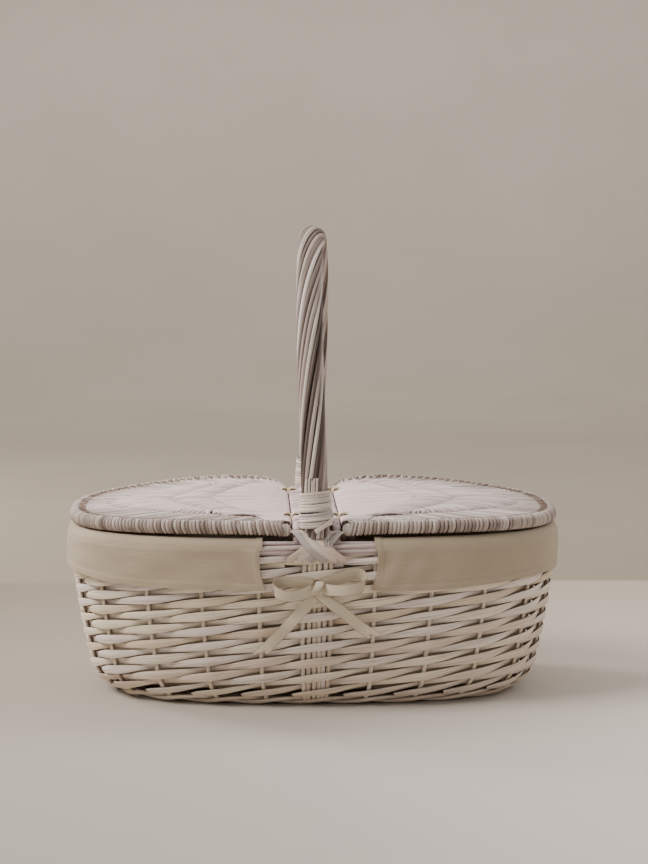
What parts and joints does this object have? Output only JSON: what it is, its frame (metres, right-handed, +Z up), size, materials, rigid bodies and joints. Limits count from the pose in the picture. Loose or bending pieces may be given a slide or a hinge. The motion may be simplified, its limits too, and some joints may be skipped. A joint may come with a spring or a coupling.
{
  "type": "wicker picnic basket",
  "caption": "Oval willow picnic basket with two hinged lids, a fixed twisted-rod hoop handle, a folded cotton liner and ribbon bows.",
  "frame": {"origin": "centre of the footprint, on the surface that the basket stands on", "axes": "+X along the basket's length, +Y from front to back, +Z up; the handle's hoop lies in the YZ plane"},
  "size_m": [0.445, 0.31, 0.417],
  "materials": {
    "willow": "whitewashed split willow, matt",
    "pale_willow": "whitewashed willow rod, satin",
    "skein": "split willow skein, satin",
    "cotton_liner": "plain cotton, matt",
    "ribbon": "woven ribbon, soft sheen"
  },
  "bodies": {
    "basket": {"base_weave": "willow", "base_stick_1": "willow", "base_stick_2": "willow", "base_stick_3": "willow", "bottom_wale": "willow", "side_weave": "willow", "top_wale": "willow", "rim_border": "pale_willow", "stake_01": "willow", "stake_02": "willow", "stake_03": "willow", "stake_04": "willow", "stake_05": "willow", "stake_06": "willow", "stake_07": "willow", "stake_08": "willow", "stake_09": "willow", "stake_10": "willow", "stake_11": "willow", "stake_12": "willow", "stake_13": "willow", "stake_14": "willow", "stake_15": "willow", "stake_16": "willow", "stake_17": "willow", "stake_18": "willow", "stake_19": "willow", "stake_20": "willow", "stake_21": "willow", "stake_22": "willow", "front_handle_rods": "willow", "back_handle_rods": "willow", "handle_core": "willow", "handle_rod_wrap": "pale_willow", "front_handle_binding": "skein", "back_handle_binding": "skein", "front_rim_lashing": "skein", "back_rim_lashing": "skein", "bridge_weave": "pale_willow", "bridge_left_rod": "pale_willow", "bridge_right_rod": "pale_willow", "left_front_hinge_loop": "skein", "left_back_hinge_loop": "skein", "right_front_hinge_loop": "skein", "right_back_hinge_loop": "skein", "liner_bag": "cotton_liner", "left_liner_cuff": "cotton_liner", "right_liner_cuff": "cotton_liner", "front_bow": "ribbon", "back_bow": "ribbon"},
    "left_lid": {"left_lid_border": "pale_willow", "left_lid_hinge_rod": "pale_willow", "left_lid_weave": "willow", "left_lid_rib": "willow"},
    "right_lid": {"right_lid_border": "pale_willow", "right_lid_hinge_rod": "pale_willow", "right_lid_weave": "willow", "right_lid_rib": "willow"}
  },
  "joints": [
    {"name": "left_lid_hinge", "type": "hinge", "parent": "basket", "child": "left_lid", "pos_m": [-0.0246, 0, 0.1615], "axis": [0, 1, 0], "range_deg": [0, 82]},
    {"name": "right_lid_hinge", "type": "hinge", "parent": "basket", "child": "right_lid", "pos_m": [0.0246, 0, 0.1615], "axis": [0, -1, 0], "range_deg": [0, 82]}
  ]
}
